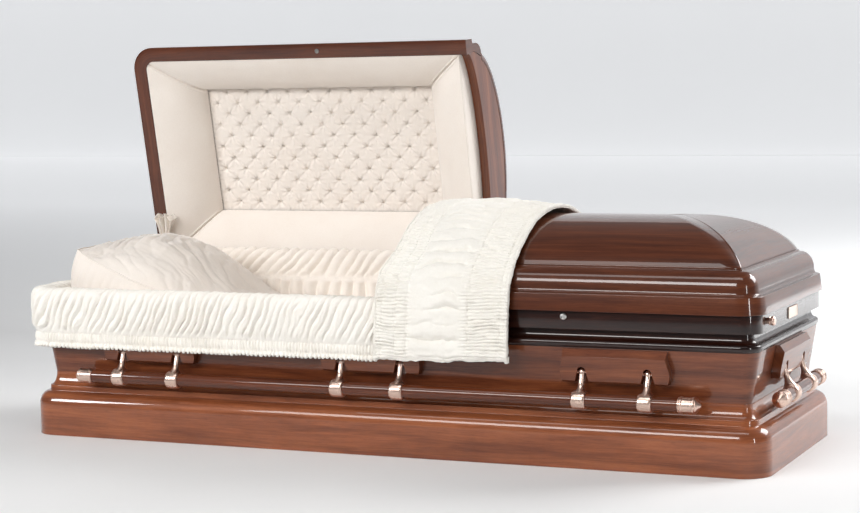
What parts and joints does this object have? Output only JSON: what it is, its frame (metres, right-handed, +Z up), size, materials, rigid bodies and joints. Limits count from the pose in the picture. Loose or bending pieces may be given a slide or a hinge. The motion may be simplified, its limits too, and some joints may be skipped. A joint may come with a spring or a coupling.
{
  "type": "funeral casket",
  "caption": "Half-couch hardwood casket with hipped crown lids, swing-bar handles, tufted cream lining, pillow, folded-out skirt and a throw.",
  "frame": {"origin": "centre of the underside, on the floor", "axes": "+X along the length towards the foot end, +Y towards the hinges, +Z up; the open side faces -Y"},
  "size_m": [2.147, 0.8865, 1.0864],
  "materials": {
    "wood": "high-gloss red-brown mahogany",
    "bar_wood": "high-gloss red-brown mahogany",
    "copper": "brushed copper",
    "nickel": "satin nickel",
    "crepe": "cream crepe",
    "velvet": "cream velvet"
  },
  "bodies": {
    "body": {"base_moulding": "wood", "bottom_board": "wood", "body_shell": "wood", "top_moulding": "wood", "rim_band": "wood", "hinge_rail": "wood", "plaque_front_1": "wood", "plaque_front_2": "wood", "plaque_front_3": "wood", "plaque_rear_1": "wood", "plaque_rear_2": "wood", "plaque_rear_3": "wood", "plaque_foot": "wood", "lock_bolt": "nickel", "memorial_tube_cap": "copper", "name_plate": "copper", "body_hinge_leaf": "nickel", "mattress": "crepe", "body_lining": "crepe", "pillow": "crepe", "extendover": "crepe"},
    "head_lid": {"head_lid_rim": "wood", "head_lid_crown": "wood", "head_lid_board": "wood", "head_lid_lining": "velvet", "tufted_panel": "velvet", "latch_strike": "nickel", "head_hinge_leaf": "nickel"},
    "foot_lid": {"foot_lid_rim": "wood", "foot_lid_crown": "wood", "foot_lid_board": "wood", "throw": "crepe", "foot_hinge_leaf": "nickel"},
    "front_handle": {"front_bar": "bar_wood", "front_cap_1": "copper", "front_cap_2": "copper", "front_arm_1": "copper", "front_arm_2": "copper", "front_arm_3": "copper", "front_arm_4": "copper", "front_arm_5": "copper", "front_arm_6": "copper"},
    "rear_handle": {"rear_bar": "bar_wood", "rear_cap_1": "copper", "rear_cap_2": "copper", "rear_arm_1": "copper", "rear_arm_2": "copper", "rear_arm_3": "copper", "rear_arm_4": "copper", "rear_arm_5": "copper", "rear_arm_6": "copper"},
    "foot_handle": {"foot_bar": "bar_wood", "foot_cap_1": "copper", "foot_cap_2": "copper", "foot_arm_1": "copper", "foot_arm_2": "copper"}
  },
  "joints": [
    {"name": "head_lid_hinge", "type": "hinge", "parent": "body", "child": "head_lid", "pos_m": [-0.45, 0.354, 0.3945], "axis": [1, 0, 0], "range_deg": [0, 66.5]},
    {"name": "foot_lid_hinge", "type": "hinge", "parent": "body", "child": "foot_lid", "pos_m": [0.45, 0.354, 0.3945], "axis": [-1, 0, 0], "range_deg": [0, 78]},
    {"name": "front_handle_swing", "type": "hinge", "parent": "body", "child": "front_handle", "pos_m": [0, -0.332, 0.242], "axis": [-1, 0, 0], "range_deg": [0, 65]},
    {"name": "rear_handle_swing", "type": "hinge", "parent": "body", "child": "rear_handle", "pos_m": [0, 0.332, 0.242], "axis": [1, 0, 0], "range_deg": [0, 65]},
    {"name": "foot_handle_swing", "type": "hinge", "parent": "body", "child": "foot_handle", "pos_m": [1.034, 0, 0.242], "axis": [0, -1, 0], "range_deg": [0, 65]}
  ]
}
